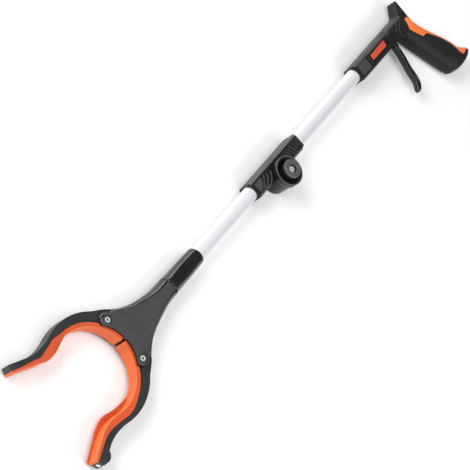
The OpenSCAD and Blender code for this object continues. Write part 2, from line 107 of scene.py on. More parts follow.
def finish_of(name, low, high, rough, metal=0.0, specular=0.5, patch=60, grain=900, bump=0.1,
              stretch=(1, 1, 1), coat=0.0):
    """A procedural finish: colour and roughness drift slowly over the surface, grain roughens it finely."""
    material = bpy.data.materials.new(name)
    material.use_nodes = True
    nodes, links = material.node_tree.nodes, material.node_tree.links
    shader = nodes["Principled BSDF"]
    place = nodes.new("ShaderNodeTexCoord")
    scaled = nodes.new("ShaderNodeMapping")
    scaled.inputs["Scale"].default_value = stretch
    links.new(place.outputs["Object"], scaled.inputs["Vector"])
    drift = nodes.new("ShaderNodeTexNoise")
    drift.inputs["Scale"].default_value = patch
    drift.inputs["Detail"].default_value = 3
    links.new(scaled.outputs["Vector"], drift.inputs["Vector"])
    ramp = nodes.new("ShaderNodeValToRGB")
    ramp.color_ramp.elements[0].position = 0.3
    ramp.color_ramp.elements[1].position = 0.7
    ramp.color_ramp.elements[0].color = (*low, 1)
    ramp.color_ramp.elements[1].color = (*high, 1)
    links.new(drift.outputs["Fac"], ramp.inputs["Fac"])
    links.new(ramp.outputs["Color"], shader.inputs["Base Color"])
    spread = nodes.new("ShaderNodeMapRange")
    spread.inputs["To Min"].default_value = rough * 0.88
    spread.inputs["To Max"].default_value = rough * 1.12
    links.new(drift.outputs["Fac"], spread.inputs["Value"])
    links.new(spread.outputs["Result"], shader.inputs["Roughness"])
    fine = nodes.new("ShaderNodeTexNoise")
    fine.inputs["Scale"].default_value = grain
    fine.inputs["Detail"].default_value = 2
    links.new(scaled.outputs["Vector"], fine.inputs["Vector"])
    relief = nodes.new("ShaderNodeBump")
    relief.inputs["Strength"].default_value = bump
    relief.inputs["Distance"].default_value = 0.0003
    links.new(fine.outputs["Fac"], relief.inputs["Height"])
    links.new(relief.outputs["Normal"], shader.inputs["Normal"])
    shader.inputs["Metallic"].default_value = metal
    shader.inputs["Specular IOR Level"].default_value = specular
    shader.inputs["Coat Weight"].default_value = coat
    return material


FINISH = {
    "handle_plastic": finish_of("handle_plastic", (0.008, 0.008, 0.009), (0.014, 0.014, 0.015), 0.36,
                                specular=0.35),
    # Lighter grey: the own colour of the raised square panel and patch, and a painted highlight on the ribs,
    # dots and raised lines that use it.
    "grey_panel_and_painted_rib_highlight": finish_of("grey_panel_and_painted_rib_highlight", (0.035, 0.035, 0.037), (0.05, 0.05, 0.052), 0.6, grain=1600, bump=0.5),
    "grip_rubber": finish_of("grip_rubber", (0.006, 0.006, 0.007), (0.011, 0.011, 0.012), 0.62,
                             specular=0.35, grain=1500, bump=0.35),
    "orange_strap": finish_of("orange_strap", (0.78, 0.16, 0.03), (0.86, 0.2, 0.045), 0.5),
    # Deeper orange for the pads' flat sides and the inner face of the lower pad's wall: painted shade.
    "orange_painted_shade": finish_of("orange_painted_shade", (0.5, 0.058, 0.007), (0.58, 0.07, 0.01), 0.55,
                             grain=1300, bump=0.2),
    "badge": finish_of("badge", (0.5, 0.06, 0.02), (0.62, 0.09, 0.03), 0.45, patch=300),
    "gloss_plastic": finish_of("gloss_plastic", (0.006, 0.006, 0.006), (0.01, 0.01, 0.01), 0.2),
    "hinge_plastic": finish_of("hinge_plastic", (0.007, 0.007, 0.008), (0.012, 0.012, 0.013), 0.32,
                               specular=0.4),
    # The cap's own lighter grey, also used on the ring's outer rim as a painted highlight.
    "cap_plastic": finish_of("cap_plastic", (0.07, 0.068, 0.072), (0.09, 0.088, 0.092), 0.45),
    "head_plastic": finish_of("head_plastic", (0.034, 0.034, 0.035), (0.046, 0.046, 0.047), 0.5),
    "head_edge": finish_of("head_edge", (0.005, 0.005, 0.006), (0.009, 0.009, 0.01), 0.22),
    "jaw_plastic": finish_of("jaw_plastic", (0.01, 0.011, 0.011), (0.016, 0.017, 0.017), 0.45),
    "orange_rubber": finish_of("orange_rubber", (0.82, 0.14, 0.015), (0.9, 0.17, 0.025), 0.5,
                               grain=1300, bump=0.2),
    "aluminium_tube": finish_of("aluminium_tube", (0.7, 0.68, 0.72), (0.76, 0.74, 0.78), 0.38,
                                metal=0.15, grain=700, bump=0.05, stretch=(0.05, 1, 1)),
    "bright_steel": finish_of("bright_steel", (0.75, 0.75, 0.77), (0.88, 0.88, 0.9), 0.22, metal=1.0),
    "screw": finish_of("screw", (0.5, 0.5, 0.51), (0.66, 0.66, 0.67), 0.35, metal=0.3),
    "steel": finish_of("steel", (0.5, 0.5, 0.52), (0.62, 0.62, 0.64), 0.35, metal=1.0),
    "seal_rubber": finish_of("seal_rubber", (0.01, 0.01, 0.01), (0.02, 0.02, 0.02), 0.6),
}

# ---- shape helpers; each gives (points, faces) ----


def arc(centre, radius, start, end, steps):
    turns = [math.radians(start + (end - start) * i / steps) for i in range(steps + 1)]
    return [(centre[0] + radius * math.cos(a), centre[1] + radius * math.sin(a)) for a in turns]


def plate(outline, z0, z1):
    n = len(outline)
    points = [(x, y, z) for z in (z0, z1) for x, y in outline]
    sides = [(i, (i + 1) % n, n + (i + 1) % n, n + i) for i in range(n)]
    return points, [tuple(range(n))[::-1], tuple(range(n, 2 * n))] + sides


def bar(section, x0, x1):
    """A bar along x whose section is drawn as (y, z)."""
    points, faces = plate(section, x0, x1)
    return [(x, y, z) for y, z, x in points], faces


def box(low, high):
    corners = [(low[0], low[1]), (high[0], low[1]), (high[0], high[1]), (low[0], high[1])]
    return plate(corners, low[2], high[2])


def loft(rings, closed=False):
    """A skin over rings with the same number of points; closed joins the last ring to the first."""
    n = len(rings[0])
    points = [p for ring in rings for p in ring]
    spans = len(rings) if closed else len(rings) - 1
    faces = [(a * n + k, a * n + (k + 1) % n, b * n + (k + 1) % n, b * n + k)
             for a in range(spans) for b in [(a + 1) % len(rings)] for k in range(n)]
    if not closed:
        faces += [tuple(range(n))[::-1], tuple(range((len(rings) - 1) * n, len(rings) * n))]
    return points, faces


def turned_z(profile, centre, steps=72):
    """A profile of (radius, z) turned about an upright axis; the profile is a closed loop."""
    return loft([[(centre[0] + r * math.cos(a), centre[1] + r * math.sin(a), z) for r, z in profile]
                 for a in (2 * math.pi * i / steps for i in range(steps))], closed=True)


def turned_x(profile, steps=72):
    """A profile of (x, radius) turned about the tubes' axis; the profile is a closed loop."""
    return loft([[(x, r * math.cos(a), r * math.sin(a)) for x, r in profile]
                 for a in (2 * math.pi * i / steps for i in range(steps))], closed=True)


def rod_z(centre, radius, z0, z1, steps=48):
    return plate(arc(centre, radius, 0, 360 - 360 / steps, steps - 1), z0, z1)


def rod_x(radius, x0, x1, steps=64):
    return bar(arc((0, 0), radius, 0, 360 - 360 / steps, steps - 1), x0, x1)


def cord_along(path, radius, sides=8):
    """A round rib or cable along a list of points."""
    rings = []
    for i, point in enumerate(path):
        ahead = Vector(path[min(i + 1, len(path) - 1)]) - Vector(path[max(i - 1, 0)])
        u = ahead.cross(Vector((0, 0, 1)) if abs(ahead.normalized().z) < 0.9 else Vector((1, 0, 0)))
        u.normalize()
        v = ahead.cross(u).normalized()
        rings.append([tuple(Vector(point) + radius * (math.cos(a) * u + math.sin(a) * v))
                      for a in (2 * math.pi * k / sides for k in range(sides))])
    return loft(rings)


def mirrored(shape):
    points, faces = shape
    return [(x, -y, z) for x, y, z in points], faces


def smooth(t):
    t = min(max(t, 0.0), 1.0)
    return t * t * (3 - 2 * t)


def between(value, knots):
    """Smooth reading of a list of (position, value) pairs at a position."""
    if value <= knots[0][0]:
        return knots[0][1]
    for (a, va), (b, vb) in zip(knots, knots[1:]):
        if value <= b:
            return va + (vb - va) * (value - a) / (b - a)
    return knots[-1][1]


# ---- making pieces ----


def mesh_of(name, shapes):
    bm = bmesh.new()
    for points, faces in shapes:
        made = [bm.verts.new(placed(p)) for p in points]
        for face in faces:
            bm.faces.new([made[i] for i in face])
    bmesh.ops.remove_doubles(bm, verts=bm.verts, dist=1e-7)
    bmesh.ops.recalc_face_normals(bm, faces=bm.faces)
    mesh = bpy.data.meshes.new(name)
    bm.to_mesh(mesh)
    bm.free()
    obj = bpy.data.objects.new(name, mesh)
    bpy.context.scene.collection.objects.link(obj)
    return obj


def combine(obj, shape, operation):
    """Adds a solid to obj or cuts it away."""
    tool = mesh_of("tool", [shape])
    step = obj.modifiers.new("step", "BOOLEAN")
    step.operation = operation
    step.solver = "EXACT"
    step.object = tool
    bpy.context.view_layer.update()
    result = bpy.data.meshes.new_from_object(obj.evaluated_get(bpy.context.evaluated_depsgraph_get()))
    obj.modifiers.clear()
    old, obj.data = obj.data, result
    bpy.data.meshes.remove(old)
    tool_mesh = tool.data
    bpy.data.objects.remove(tool)
    bpy.data.meshes.remove(tool_mesh)


def piece(name, body, finish, shapes, add=(), cut=(), rounding=0.0, segments=3, replaces=(),
          limit=32, second=None):
    """One piece of the object. rounding is the edge radius in millimetres.

    second is (finish, test): faces whose centre and normal pass the test take that finish."""
    obj = mesh_of(name, shapes)
    for shape in add:
        combine(obj, shape, "UNION")
    for shape in cut:
        combine(obj, shape, "DIFFERENCE")
    obj.name = name
    obj.data.name = name
    obj.data.materials.clear()
    obj.data.materials.append(FINISH[finish])
    if second:
        obj.data.materials.append(FINISH[second[0]])
        for face in obj.data.polygons:
            face.material_index = int(second[1](face.center * 1000, face.normal))
    obj.data.shade_smooth()
    if rounding:
        rim = obj.modifiers.new("rounding", "BEVEL")
        rim.width = rounding / 1000
        rim.segments = segments
        rim.limit_method = "ANGLE"
        rim.angle_limit = math.radians(limit)
        rim.harden_normals = True
    else:
        obj.data.set_sharp_from_angle(angle=math.radians(limit))
    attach(obj, body)
    if replaces:
        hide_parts(*replaces)
    return obj


# ---- tubes ----


def pipe(x0, x1):
    return turned_x([(x0, 7.85), (x0 + 0.2, 8.75), (x1 - 0.2, 8.75), (x1, 7.85), (x1, 7.65), (x0, 7.65)], 96)


piece("tube_handle_side", "handle_arm", "aluminium_tube", [pipe(27, 206)], replaces=["upper_tube"])
piece("tube_claw_side", "claw_arm", "aluminium_tube", [pipe(-187, -27)], replaces=["lower_tube"])

# ---- fold hinge ----

FOLD = (0, FOLD_Y)


HOUSING = [(-10.3, -9.5), (-7.3, -12.5), (7.8, -12.5), (10.3, -10), (10.3, -1.6), (9.7, -1.1),
           (9.7, 0.9), (10.3, 1.4), (10.3, 8.5), (7.8, 11), (-7.3, 11), (-10.3, 8)]
BORE = (rod_x(8.8, 26, 60), rod_x(8.8, -60, -26))


def fold_arc(radius, start, end, z, steps=14):
    return [(x, y, z) for x, y in arc(FOLD, radius, start, end, steps)]


def dimples(columns, rows, pitch, radius, start, z):
    """Small raised dots in a staggered grid."""
    dots = []
    for i in range(columns):
        for j in range(rows):
            x = start[0] + i * pitch
            y = start[1] + j * pitch + (pitch / 2 if i % 2 else 0)
            profile = [(0.0001, z - 0.1), (radius, z - 0.1), (radius * 0.8, z + 0.25), (0.0001, z + 0.4)]
            dots.append(turned_z(profile, (x, y), 8))
    return dots


piece("hinge_upper", "handle_arm", "hinge_plastic", [bar(HOUSING, 0.3, 49)],
      add=[rod_z(FOLD, 16.7, 0.15, 11.1, 96)],
      cut=[rod_z(FOLD, 17.2, -14, 0.15, 96), BORE[0],
           plate([(50, -6.5), (50, -12), (43, -12)], -14, 14),
           rod_z(FOLD, 6.3, -1, 12)],
      rounding=0.5, replaces=["upper_hinge_half"])
# The hinge's ribs and dots in lighter grey: painted highlight along their crests.
piece("hinge_upper_relief", "handle_arm", "grey_panel_and_painted_rib_highlight",
      [cord_along(fold_arc(r, a0, a1, 11.1), 0.8) for r, a0, a1 in
       [(22.5, 22, 48), (26, 18, 42), (30, 10, 36), (34.5, 8, 32)]]
      + [cord_along([(46.7, 6.5, 11), (47.5, 0, 11.05), (46.7, -6, 11)], 0.5)]
      + dimples(5, 5, 2.1, 0.75, (36.2, -3.6), 11.0))
piece("hinge_lower", "claw_arm", "hinge_plastic", [bar(HOUSING, -48.5, -0.3)],
      add=[rod_z(FOLD, 16.7, -12.5, -0.15, 96)],
      cut=[rod_z(FOLD, 17.2, -0.15, 14, 96), BORE[1], rod_z(FOLD, 5.6, -8.3, 1), rod_z(FOLD, 6.3, -1.5, 1)],
      rounding=0.5, replaces=["lower_hinge_half"])
piece("hinge_lower_rim", "claw_arm", "hinge_plastic",
      [turned_x([(-49.1, 8.85), (-49.4, 9.4), (-49.1, 10.2), (-48.2, 10.5), (-47, 8.85)], 64)])
# The lower half's ribs in lighter grey: painted highlight along their crests.
piece("hinge_lower_relief", "claw_arm", "grey_panel_and_painted_rib_highlight",
      [cord_along([(x, y, 11.0) for x, y in line], 0.75) for line in [
          [(-14.4, 2.3), (-16.7, -2), (-21, -6.2), (-26, -8.3)],
          [(-21.5, 4.6), (-21.9, 0.7), (-26, -3.4), (-35.2, -7.2)],
          [(-26, 4.8), (-28.3, 2.2), (-32.6, -2), (-37.3, -6.4)]]])
piece("hinge_lower_patch", "claw_arm", "grey_panel_and_painted_rib_highlight",
      [plate([(-45, 5.6), (-33, 5.6), (-31.3, 3.6), (-37, -3.6), (-40.4, -6), (-45, -6)], 10.6, 11.35)],
      rounding=0.3)

# The upward faces of the ring's outer rim take the lighter cap grey: a painted highlight.
piece("ring", "handle_arm", "hinge_plastic", [turned_z(
    [(10.45, 11.3), (17.7, 11.3), (18.1, 11.8), (18.1, 19), (17.9, 19.7), (17.4, 20), (16.9, 20),
     (16.5, 19.7), (16.1, 19), (14, 17.4), (12.2, 16.6), (10.9, 15.6), (10.45, 14.8)], FOLD, 96)],
    replaces=["button_ring"], limit=50,
    second=("cap_plastic", lambda c, n: n.z > 0.5 and math.hypot(c.x, c.y) > 16.4))
piece("ring_rib", "handle_arm", "hinge_plastic",
      [cord_along([(4.5, -25.7, 17.2), (8.4, -23.9, 17.3), (10.6, -22, 17.2)], 0.45)])
piece("cap", "lock_body", "cap_plastic", [turned_z(
    [(2.3, 2.5), (6, 2.5), (6, 14.8), (10.1, 14.8), (10.1, 19.8), (11.3, 20.2), (11.4, 25.3),
     (11.3, 25.7), (10.5, 26.4), (10.3, 26.5), (5.0, 26.5), (4.8, 26.4), (4.7, 26.2), (4.7, 21.2),
     (2.3, 21.2)], FOLD, 96)],
    replaces=["button_cap"],
    second=("hinge_plastic", lambda c, n: n.z < 0.3 or math.hypot(c.x, c.y) < 4.9))
piece("bolt", "handle_arm", "screw", [turned_z(
    [(0.0001, -13.3), (2, -13.3), (2, 21.5), (4.1, 21.5), (4.1, 23.6), (3.8, 24.2), (3.0, 24.6),
     (0.0001, 24.7)], FOLD, 48)],
    cut=[box((-0.45, FOLD_Y - 2.6, 23.6), (0.45, FOLD_Y + 2.6, 25)),
         box((-2.6, FOLD_Y - 0.45, 23.6), (2.6, FOLD_Y + 0.45, 25))],
    replaces=["hinge_bolt"])
piece("nut", "handle_arm", "hinge_plastic", [turned_z(
    [(2.1, -14), (7.0, -14), (7.5, -13.6), (7.5, -13.2), (7.3, -13), (2.1, -13)], FOLD, 64)],
    replaces=["hinge_nut"])

# ---- swivel collar ----

piece("collar", "claw_arm", "gloss_plastic", [turned_x(
    [(-220, 9.4), (-220, 11.3), (-219.6, 11.75), (-218.2, 11.95), (-216.8, 11.75), (-216.4, 11.6),
     (-190, 11.1), (-165.2, 10.6), (-163.6, 10.3), (-163, 9.6), (-163, 8.8), (-186, 8.8), (-190, 9.4)], 96)],
    replaces=["swivel_collar"], limit=50)

# ---- claw head ----

RIVETS = [(-311, 27.5), (-311, -27.5)]
HEAD_SIDE = [(-221, 12), (-230, 12.1), (-240, 12.6), (-252, 14.2), (-262, 16.5), (-272, 19.2),
             (-280, 22.2), (-288, 26.2), (-295, 31), (-300.5, 35)]


def head_half_width(x):
    if x > -300.5:
        return between(-x, [(-a, b) for a, b in HEAD_SIDE])
    return 27.5 + math.sqrt(max(10.4 ** 2 - (x + 311) ** 2, 0))


def head_ring(x):
    """The head's section: round at the collar, then a flat face with a bevelled rim."""
    w, h = head_half_width(x), 12.0
    blend = smooth((-x - 224) / 34)
    rim = [(w, 0.6), (w, h - 5.2), (w - 0.5, h - 4.2), (w - 2.3, h - 1.9), (w - 3.9, h - 0.25),
           (w - 4.6, h), (0.66 * (w - 4.6), h), (0.33 * (w - 4.6), h)]
    angles = [2, 26, 33, 43, 54, 62, 72, 81]
    radius = min(w, h)
    quarter = []
    for (y, z), a in zip(rim, angles):
        ry, rz = radius * math.cos(math.radians(a)) + w - radius, radius * math.sin(math.radians(a))
        quarter.append((ry + (y - ry) * blend, rz + (z - rz) * blend))
    top = quarter + [(0, h)] + [(-y, z) for y, z in reversed(quarter)]
    loop = top + [(-w + 0.35, 0)] + [(y, -z) for y, z in reversed(top)] + [(w - 0.35, 0)]
    return [(x, y, z) for y, z in loop]


head_stations = [-221 - 3.5 * i for i in range(23)] + [-300.5 - 1.5 * i for i in range(1, 14)] + [-321.2]
CAVITY = [(-283, 8), (-284, 20.5), (-290, 24.6), (-296, 29), (-298, 31), (-299, 42), (-335, 42),
          (-335, -42), (-299, -42), (-298, -31), (-296, -29), (-290, -24.6), (-284, -20.5), (-283, -8)]
head = piece(
    "head", "claw_head", "head_edge", [loft([head_ring(x) for x in head_stations])],
    cut=[rod_z((-351, 0), 41, -14, 14, 160), plate(CAVITY, -9.2, 9.2)]
    + [rod_z(r, 5.2, z, z + 2) for r in RIVETS for z in (-13, 11)]
    + [rod_z((-262, y), 2.9, -13, -9.6, 24) for y in (-11.5, 11.5)],
    rounding=0.35, limit=40, replaces=["head_shell_front", "head_shell_back"],
    second=("head_plastic", lambda c, n: abs(n.z) > 0.3 and abs(c.z - 14) > 8
            and abs(c.y + FOLD_Y) < head_ring(c.x)[5][1]))
piece("neck", "claw_head", "head_edge",
      [turned_x([(-224, 6.6), (-224, 9.1), (-200, 9.1), (-198, 9.8), (-195.5, 9.8), (-192, 9.1), (-191, 8.4),
                 (-191, 6.6)], 64)])
for side, centre in zip(("up", "down"), RIVETS):
    piece(f"rivet_{side}", "claw_head", "screw", [turned_z(
        [(1.4, -12.1), (2.6, -12.1), (3.1, -11.7), (3.1, -11.1), (2.5, -11), (2.5, 11), (3.1, 11.1),
         (3.1, 11.5), (2.9, 11.9), (2.4, 12.1), (1.9, 12.0), (1.5, 11.6), (1.4, 10.6)], centre, 48)],
        replaces=["jaw_rivets"] if side == "up" else (), limit=60)

# ---- jaws and pads ----

MOUTH = (-363.5, 0)
MOUTH_R = 48.5
BEND = 105
SWEEP_R = 50
SWEEP = 37.2
TIP_RUN = {1: 30.5, -1: 28.5}
PAD = 5
JAW_HALF = 8.75
SWEEP_C = (MOUTH[0] + (MOUTH_R + SWEEP_R) * math.cos(math.radians(BEND)),
           (MOUTH_R + SWEEP_R) * math.sin(math.radians(BEND)))
TIP_NORMAL = (-math.cos(math.radians(BEND + 180 - SWEEP)), -math.sin(math.radians(BEND + 180 - SWEEP)))
TIP_DIR = (-TIP_NORMAL[1], TIP_NORMAL[0])
PALM = math.degrees(math.asin(1.5 / MOUTH_R))


def jaw_path(side):
    """The working face, drawn towards +y: (point, outward normal, distance along) from palm to tip."""
    path = []
    for i in range(41):
        a = math.radians(PALM + (BEND - PALM) * i / 40)
        n = (math.cos(a), math.sin(a))
        path.append(((MOUTH[0] + MOUTH_R * n[0], MOUTH_R * n[1]), n))
    for i in range(1, 19):
        a = math.radians(BEND + 180 - SWEEP * i / 18)
        n = (-math.cos(a), -math.sin(a))
        path.append(((SWEEP_C[0] - SWEEP_R * n[0], SWEEP_C[1] - SWEEP_R * n[1]), n))
    end = path[-1][0]
    for i in range(1, 13):
        run = TIP_RUN[side] * i / 12
        path.append(((end[0] + run * TIP_DIR[0], end[1] + run * TIP_DIR[1]), TIP_NORMAL))
    along, out = 0.0, []
    for i, (p, n) in enumerate(path):
        if i:
            along += math.dist(p, path[i - 1][0])
        lift = 1.8 * smooth((along - 92) / 45) if side > 0 else 0
        out.append(((p[0] + lift * n[0], p[1] + lift * n[1]), n, along))
    return out


JAW = {side: jaw_path(side) for side in (1, -1)}
ROUND_END = MOUTH_R * math.radians(BEND - PALM)


def seam(s, side):
    """Distance from the working face to the seam between pad and bone."""
    if side > 0:
        bend = smooth((s - ROUND_END + 16) / 16) * smooth((ROUND_END + 27 - s) / 17)
        return PAD + 3.4 * bend - 2.2 * smooth((s - ROUND_END - 30) / 24)
    bend = smooth((s - ROUND_END + 34) / 24) * smooth((ROUND_END + 34 - s) / 26)
    return PAD + 2.8 * bend - 1.2 * smooth((s - ROUND_END - 20) / 30)


def crest(s, z, side):
    """How far the pad's edges rise into the mouth: the lower pad has a thin wall along its far edge."""
    if side > 0:
        bend = smooth((s - ROUND_END + 18) / 16) * smooth((ROUND_END + 34 - s) / 18)
        return -1.8 * bend * smooth((z - 6) / 1)
    return -between(s, WALL) * smooth((-6.4 - z) / 0.5)


WALL = [(0, 0), (52, 0), (59, 1.5), (70, 4), (79, 5), (98, 6.2), (108, 4.7), (120, 3.2), (130, 2.7),
        (142, 2), (150, 1.8)]


def pad_shape(side):
    rings = []
    for p, n, s in JAW[side]:
        t1 = seam(s, side)
        ends = min(s, JAW[side][-1][2] - s)
        tuck = 0.7 * (1 - smooth(ends / 0.9))
        profile = [(0.6, -JAW_HALF), (0.15, -8.5), (0, -8.2), (0, -6.9), (0, -6.65), (0, -6.4), (0, -3.7),
                   (0, -0.4), (0, 3), (0, 6), (0, 6.5), (0, 7.5), (0.2, 8.5), (0.6, JAW_HALF)]
        ring = [(t + crest(s, z, side) + tuck, z * (1 - tuck / 20)) for t, z in profile]
        ring += [(t1, JAW_HALF), (t1, -JAW_HALF)]
        rings.append([(p[0] + t * n[0], p[1] + t * n[1], z) for t, z in ring])
    return loft(rings) if side > 0 else mirrored(loft(rings))


def offset_line(side, extra, start):
    return [(p[0] + (seam(s, side) + extra) * n[0], p[1] + (seam(s, side) + extra) * n[1])
            for p, n, s in JAW[side]
            if math.degrees(math.atan2(p[1], p[0] - MOUTH[0])) > start or s > ROUND_END]


def tip_at(side, t):
    p = JAW[side][-1][0]
    return (p[0] + t * TIP_NORMAL[0], p[1] + t * TIP_NORMAL[1])


BACK_SWEEP_R = 60           # the outward sweep of the jaw's back
BULB_AT = (-423.2, 62.8)
BULB_R = 8.7
BULB_FOOT = (-407, 61.2)    # where the bulb rises from the jaw's back
MAGNET_OUT = 8.4            # from the pad's working face to the magnet's middle
POCKET_R = 2.95


def bone_outline(side):
    """The jaw's outline: its back edge out to the tip, then the pad's seam back to the rivet."""
    back = [(-304, 29), (-299.7, 32), (-299.7, 34.3), (-303, 37), (-307, 39.8), (-311.6, 42.6)]
    back += arc((-360, -2), 64.5, 48, 104, 22)
    c = (-360 + 124.5 * math.cos(math.radians(104)), -2 + 124.5 * math.sin(math.radians(104)))
    if side > 0:
        back += arc(c, BACK_SWEEP_R, 284, 250, 14)[1:] + [tip_at(side, PAD + 5)]
    else:
        back += arc(c, BACK_SWEEP_R, 284, 257, 12)[1:] + [BULB_FOOT]
        back += arc(BULB_AT, BULB_R, 12, 112, 18) + [tip_at(side, 11.5)]
    return offset_line(side, 0, 30) + back[::-1]


def magnet_pocket():
    """The round hole in the lower jaw's tip that holds the magnet."""
    rings = []
    for depth in (-1.5, 2):
        ring = []
        for k in range(32):
            a = 2 * math.pi * k / 32
            x, y = tip_at(-1, MAGNET_OUT + POCKET_R * math.cos(a))
            ring.append((x + depth * TIP_DIR[0], y + depth * TIP_DIR[1], POCKET_R * math.sin(a)))
        rings.append(ring)
    return mirrored(loft(rings))


def jaw_shapes(side):
    turn = (lambda shape: shape) if side > 0 else mirrored
    pad_front = [(p[0] + 5 * n[0], p[1] + 5 * n[1]) for p, n, s in JAW[side] if s < 45]
    pad_back = [(p[0] + 6.7 * n[0], p[1] + 6.7 * n[1]) for p, n, s in JAW[side] if s < 45]
    bone = turn(plate(bone_outline(side), -JAW_HALF, JAW_HALF))
    strip = turn(plate(pad_front + pad_back[::-1], -JAW_HALF, JAW_HALF))
    boss_out = arc(RIVETS[0], 8.6, -40, 230, 40)
    boss_out = [q for q in boss_out if math.dist(q, MOUTH) > MOUTH_R + PAD + 0.02]
    boss = turn(plate(boss_out, -JAW_HALF, JAW_HALF))
    arm = turn(plate([(-309.5, 4.5), (-298.8, 4.5), (-298.8, 15), (-303, 24), (-312, 22)], -3, 3))
    return bone, strip, boss, arm


for side, place, body in ((1, "upper", "upper_jaw_body"), (-1, "lower", "lower_jaw_body")):
    bone, strip, boss, arm = jaw_shapes(side)
    piece(f"bone_{place}", body, "jaw_plastic", [bone], cut=[magnet_pocket()] if side < 0 else (),
          rounding=0.8, limit=40, replaces=[f"jaw_{place}"])
    piece(f"bone_root_{place}", body, "jaw_plastic", [strip, boss, arm], rounding=0.4, limit=40)
    # The pads' faces that look straight up or down take the deeper orange: painted shade.
    piece(f"pad_{place}", body, "orange_rubber", [pad_shape(side)], limit=50, replaces=[f"jaw_pad_{place}"],
          second=("orange_painted_shade", lambda c, n: abs(n.z) > 0.95))

# ---- handle ----

BARREL = [(-10.9, -9.5), (-8.4, -12), (-7.4, -12.5), (6, -12.5), (7, -12), (9.5, -9.5), (10, -8.6),
          (10, 8.6), (9.5, 9.5), (7, 12), (6, 12.5), (-7.4, 12.5), (-8.4, 12), (-10.9, 9.5)]
HORN = [(289, 6), (290, 9.6), (300, 9.6), (305.7, 11.8), (314, 22.8), (315.3, 24.3), (316.7, 24.7),
        (317.6, 23.8), (317.9, 22), (317.2, 3.5), (296, 3.5)]
HORN_SIDE = [[(308, y, 8.8), (320, y, 6.6), (320, y, 14), (308, y, 14)] for y in (3.6, 30)]
TRIGGER_ROOM = [(257.5, -20), (257.5, 6.5), (303, 6.5), (309.8, 13.6), (312, 14.8), (314.5, 14.2),
                (315.9, 12), (315.9, -12), (300, -31), (286, -31)]
piece("barrel", "handle_arm", "handle_plastic", [bar(BARREL, 190, 303)],
      add=[plate(HORN, -8.8, 8.8), plate([(286, -10.5), (300, -25), (314, -9), (314, 6), (286, 6)], -10, 10)],
      cut=[rod_x(8.8, 180, 207),
           box((215.5, -4.4, 11.7), (257.5, 6.2, 14)),
           plate(TRIGGER_ROOM, -5.3, 5.3)]
      + [rod_z(at, 2.9, -14, -8.5, 24) for at in ((240, 3.5), (266, 3.2))]
      + [loft(HORN_SIDE), loft([[(x, y, -z) for x, y, z in ring] for ring in HORN_SIDE])],
      rounding=0.6, limit=25, replaces=["handle_shell_front", "handle_shell_back"])
piece("barrel_mouth", "handle_arm", "handle_plastic",
      [turned_x([(188.6, 8.95), (188.2, 9.6), (188.8, 10.4), (190.5, 10.8), (191, 8.95)], 64)])
piece("square_panel", "handle_arm", "grey_panel_and_painted_rib_highlight",
      [plate([(191.5, -7), (192.3, 6), (210.5, 6), (211, -7)], 12.2, 12.95)], rounding=0.3)
piece("window_frame", "handle_arm", "grey_panel_and_painted_rib_highlight",
      [cord_along([(214.6, -5.2, 12.4), (214.6, 6.9, 12.4), (258.2, 6.9, 12.4)], 0.65)])
piece("badge_plate", "handle_arm", "badge",
      [plate([(220.3, -3.4), (220.3, 3.6), (253.3, 4.4), (251.4, -3.4)], 11.6, 12.15)],
      rounding=0.2, replaces=["badge_inlay"])
# The vent ribs in lighter grey: painted highlight along their crests.
piece("vents", "handle_arm", "grey_panel_and_painted_rib_highlight",
      [cord_along(line, 0.5) for line in [
          [(259.5, 5.4, 12.5), (262.5, 6.6, 12.5), (268, 6.4, 12.5)],
          [(260.5, 2.6, 12.5), (264, 4.4, 12.5), (271.8, 5.6, 12.5)],
          [(258, 10.1, 8.4), (263.3, 10.2, 8.3), (266, 10.1, 8.4)]]])
SHOULDER = [(272.4, -10.2), (271, -6), (270.8, -2), (271.8, 2.8), (275, 6), (279, 7.2), (286, 6.6),
            (293, 7.6), (299, 8.2), (303, 7.4), (303.4, 3), (301.5, -3), (299.5, -8.8), (297, -12),
            (288, -10.6)]
piece("shoulder_front", "handle_arm", "grip_rubber", [plate(SHOULDER, 11.5, 13.4)], rounding=0.7)
piece("shoulder_back", "handle_arm", "grip_rubber", [plate(SHOULDER, -13.4, -11.5)], rounding=0.7)

# The shoulder ribs in lighter grey: painted highlight along their crests.
piece("shoulder_ribs", "handle_arm", "grey_panel_and_painted_rib_highlight",
      [cord_along(line, 0.5) for line in [
          [(290.5, 8.6, 12.7), (286.5, 5.4, 13.5), (277.5, -1, 13.5)],
          [(297.5, 8.4, 12.8), (293.5, 5, 13.5), (285, -1.5, 13.5), (281, -7, 13.5)]]])

# The grip's stations: front edge, rear edge, half width, and how far the strap reaches round from the rear
GRIP = [
    ((289, -6.2), (315.6, 5.2), 9, 10), ((287, -7.4), (316.6, 3.6), 11.6, 12.5),
    ((286.8, -9.5), (317, 0), 12.9, 15.5), ((287.6, -13.5), (317.6, -8), 13.7, 19.5),
    ((290, -20.5), (321, -18.5), 14, 19), ((291.6, -25), (323.4, -24), 14, 18.6),
    ((293, -30.2), (326.6, -29.6), 14, 18.4), ((293.2, -30.8), (327, -30.2), 14, 10.8),
    ((296, -39.2), (333, -40), 14, 8.5), ((297.5, -43.8), (336.2, -45), 14, 7.6),
    ((300.6, -52.6), (341.2, -53.5), 14, 7), ((303.8, -61.8), (345.4, -62.5), 14, 7.2),
    ((307, -71.2), (348.8, -72), 14, 9), ((309.2, -78), (353, -76.4), 14, 14),
    ((312.4, -85.6), (360.4, -81.6), 13.8, 19)]
BUTT = [((312.5, -85.8), (360.6, -81.8), 13.8, 0.02), ((313.6, -87.6), (361.8, -84.2), 13.6, 0.02),
        ((319, -90.4), (360, -87.2), 12.4, 0.02), ((325, -91.8), (351, -90), 10.4, 0.02)]


